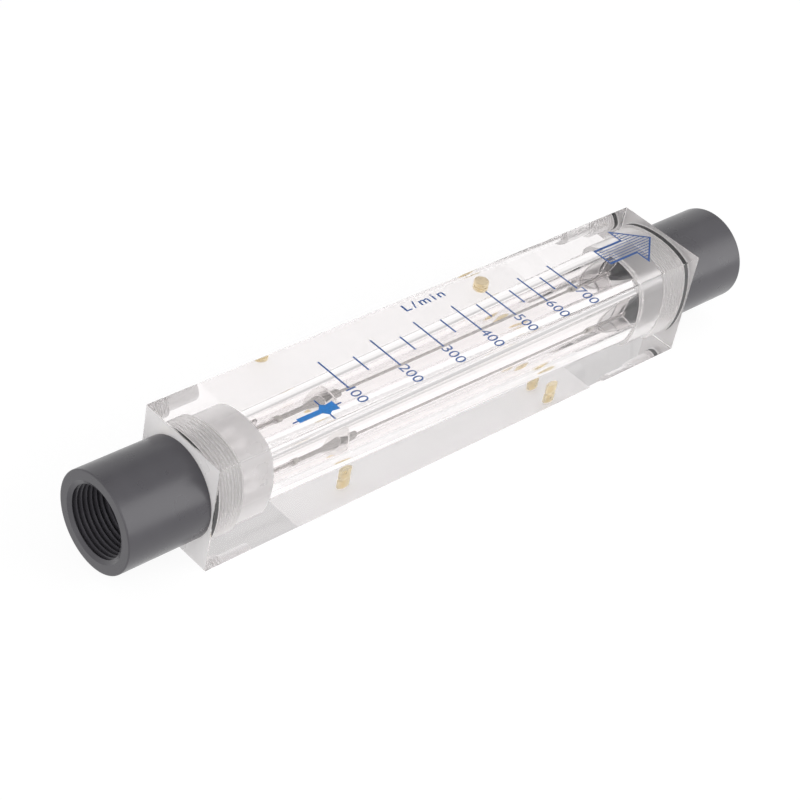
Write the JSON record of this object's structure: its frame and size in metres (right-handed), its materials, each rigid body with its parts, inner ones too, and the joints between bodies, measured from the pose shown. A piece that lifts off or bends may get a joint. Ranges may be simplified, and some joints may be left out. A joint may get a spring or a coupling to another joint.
{
  "type": "in-line block rotameter",
  "caption": "Clear acrylic-block rotameter with a tapered bore, guided steel float, printed flow scale and plastic pipe-thread end fittings.",
  "frame": {"origin": "centre of the flat mounting back, midway between the block's two end faces", "axes": "+X along the flow, from the inlet end to the outlet end; +Y across the block; +Z from the mounting back up to the scale face"},
  "size_m": [0.3462, 0.0444, 0.0509],
  "materials": {
    "clear_acrylic": "clear, polished faces",
    "grey_pvc": "machined, satin",
    "seal_rubber": "matte",
    "clear_plastic": "clear, moulded",
    "stainless_rod": "bright drawn",
    "stop_plastic": "natural, moulded",
    "stainless_float": "turned, polished",
    "insert_brass": "turned, knurled",
    "scale_ink": "screen print"
  },
  "bodies": {
    "housing": {"body_block": "clear_acrylic", "inlet_fitting": "grey_pvc", "outlet_fitting": "grey_pvc", "inlet_o_ring": "seal_rubber", "outlet_o_ring": "seal_rubber", "inlet_rod_support": "clear_plastic", "outlet_rod_support": "clear_plastic", "guide_rod": "stainless_rod", "rod_clips": "stainless_rod", "inlet_float_stop": "stop_plastic", "outlet_float_stop": "stop_plastic", "mounting_inserts": "insert_brass", "scale_marks": "scale_ink"},
    "float": {"metering_float": "stainless_float"}
  },
  "joints": [
    {"name": "float_travel", "type": "slide", "parent": "housing", "child": "float", "axis": [1, 0, 0], "range_m": [0, 0.1377]}
  ]
}
